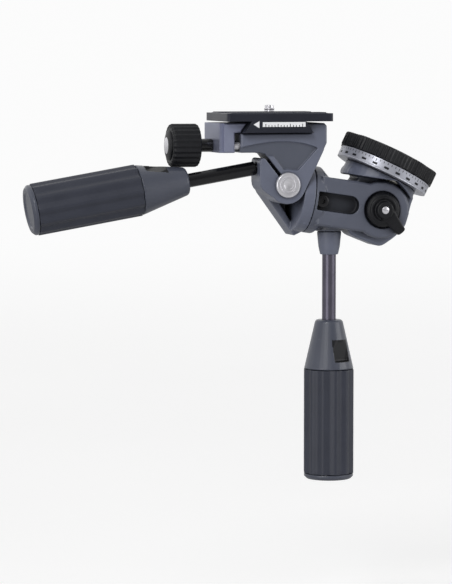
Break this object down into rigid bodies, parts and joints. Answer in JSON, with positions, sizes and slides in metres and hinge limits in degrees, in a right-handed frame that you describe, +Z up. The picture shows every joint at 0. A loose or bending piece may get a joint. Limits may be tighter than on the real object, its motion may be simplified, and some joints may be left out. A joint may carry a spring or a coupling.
{
  "type": "three-way pan tilt head",
  "caption": "Tripod head hung from its base: pan bearing, hinged arm, swivel bracket and tilting platform with a dovetail clamp, camera plate and two twist handles.",
  "frame": {"origin": "centre of the base's seat, on the pan axis", "axes": "+Z up with the platform level, as the picture shows it; +X right as the picture shows it; +Y away from the viewer"},
  "size_m": [0.2459, 0.058, 0.2179],
  "materials": {
    "cast_alloy": "blue-grey powder coat on die-cast alloy",
    "dark_alloy": "dark grey anodised, satin",
    "grey_alloy": "light blue-grey anodised, satin",
    "ring_alloy": "turned, clear anodised",
    "black_plastic": "moulded glass-filled nylon, satin",
    "grip_plastic": "moulded ABS, fine grain",
    "grip_rubber": "moulded rubber, matt",
    "black_steel": "black oxide, glossy",
    "bright_steel": "satin nickel plate",
    "nylon": "natural nylon",
    "brass": "turned"
  },
  "bodies": {
    "base": {"base_plate": "dark_alloy", "thread_insert": "brass", "pan_scale_ring": "ring_alloy"},
    "lock_ring": {"pan_lock_ring": "black_plastic"},
    "pan": {"pan_housing": "cast_alloy", "spindle_pin": "bright_steel", "pan_washer": "nylon"},
    "arm": {"arm": "cast_alloy", "hinge_bolt": "black_steel", "hinge_washer_front": "nylon", "hinge_washer_rear": "nylon", "pocket_screw": "black_steel", "brake_pad": "brass"},
    "lever": {"lever_knob": "black_plastic", "lever_screw": "bright_steel"},
    "bracket": {"v_bracket": "cast_alloy", "swivel_axle": "bright_steel", "swivel_washer": "nylon", "tilt_axle": "bright_steel", "tilt_cap": "bright_steel", "tilt_nut": "black_steel"},
    "platform": {"platform": "cast_alloy"},
    "jaw": {"clamp_jaw": "grey_alloy", "jaw_guide_pin_1": "bright_steel", "jaw_guide_pin_2": "bright_steel"},
    "clamp_knob": {"clamp_screw": "black_steel", "clamp_knob_core": "black_plastic", "clamp_knob_grip": "grip_rubber", "clamp_knob_cap": "bright_steel"},
    "plate": {"quick_plate": "dark_alloy", "plate_pad_front": "grip_rubber", "plate_pad_rear": "grip_rubber"},
    "camera_screw": {"camera_screw": "bright_steel"},
    "lower_handle": {"lower_handle_collar": "cast_alloy", "lower_handle_rod": "cast_alloy", "lower_handle_core": "grip_plastic", "lower_handle_sleeve": "grip_rubber", "lower_handle_cap": "black_plastic"},
    "left_handle": {"left_handle_rod": "black_steel", "left_handle_core": "grip_plastic", "left_handle_sleeve": "grip_rubber", "left_handle_cap": "black_plastic"}
  },
  "joints": [
    {"name": "lock_ring_turn", "type": "hinge", "parent": "base", "child": "lock_ring", "pos_m": [0, 0, 0], "axis": [0.4431, 0, 0.8965], "range_deg": [0, 45]},
    {"name": "pan_turn", "type": "hinge", "parent": "base", "child": "pan", "pos_m": [0, 0, 0], "axis": [0.4431, 0, 0.8965], "continuous": true},
    {"name": "arm_hinge", "type": "hinge", "parent": "pan", "child": "arm", "pos_m": [-0.01121, 0, -0.03261], "axis": [0, -1, 0], "range_deg": [0, 140]},
    {"name": "lever_turn", "type": "hinge", "parent": "arm", "child": "lever", "pos_m": [-0.01121, 0, -0.03261], "axis": [0, -1, 0], "range_deg": [0, 180]},
    {"name": "swivel_turn", "type": "hinge", "parent": "arm", "child": "bracket", "pos_m": [-0.05186, 0, -0.02653], "axis": [0.989, 0, -0.1478], "range_deg": [-90, 90]},
    {"name": "lower_handle_turn", "type": "hinge", "parent": "arm", "child": "lower_handle", "pos_m": [-0.03811, 0, -0.02859], "axis": [0, 0, -1], "range_deg": [0, 270]},
    {"name": "platform_tilt", "type": "hinge", "parent": "bracket", "child": "platform", "pos_m": [-0.06893, 0, -0.01761], "axis": [0, -1, 0], "range_deg": [0, 80]},
    {"name": "left_handle_turn", "type": "hinge", "parent": "platform", "child": "left_handle", "pos_m": [-0.071, -0.01, -0.00559], "axis": [-0.9854, 0, -0.1702], "range_deg": [0, 270]},
    {"name": "jaw_slide", "type": "slide", "parent": "platform", "child": "jaw", "axis": [-1, 0, 0], "range_m": [0, 0.0025]},
    {"name": "clamp_knob_turn", "type": "hinge", "parent": "jaw", "child": "clamp_knob", "pos_m": [-0.06893, 0, 0.00489], "axis": [-1, 0, 0], "range_deg": [0, 720]},
    {"name": "plate_slide", "type": "slide", "parent": "platform", "child": "plate", "axis": [0, -1, 0], "range_m": [0, 0.055]},
    {"name": "camera_screw_turn", "type": "hinge", "parent": "plate", "child": "camera_screw", "pos_m": [-0.07433, 0, 0.01839], "axis": [0, 0, 1], "continuous": true}
  ],
  "couplings": [
    {"joint": "clamp_knob_turn", "follows": "jaw_slide", "rad_per_m": 5026.5}
  ]
}
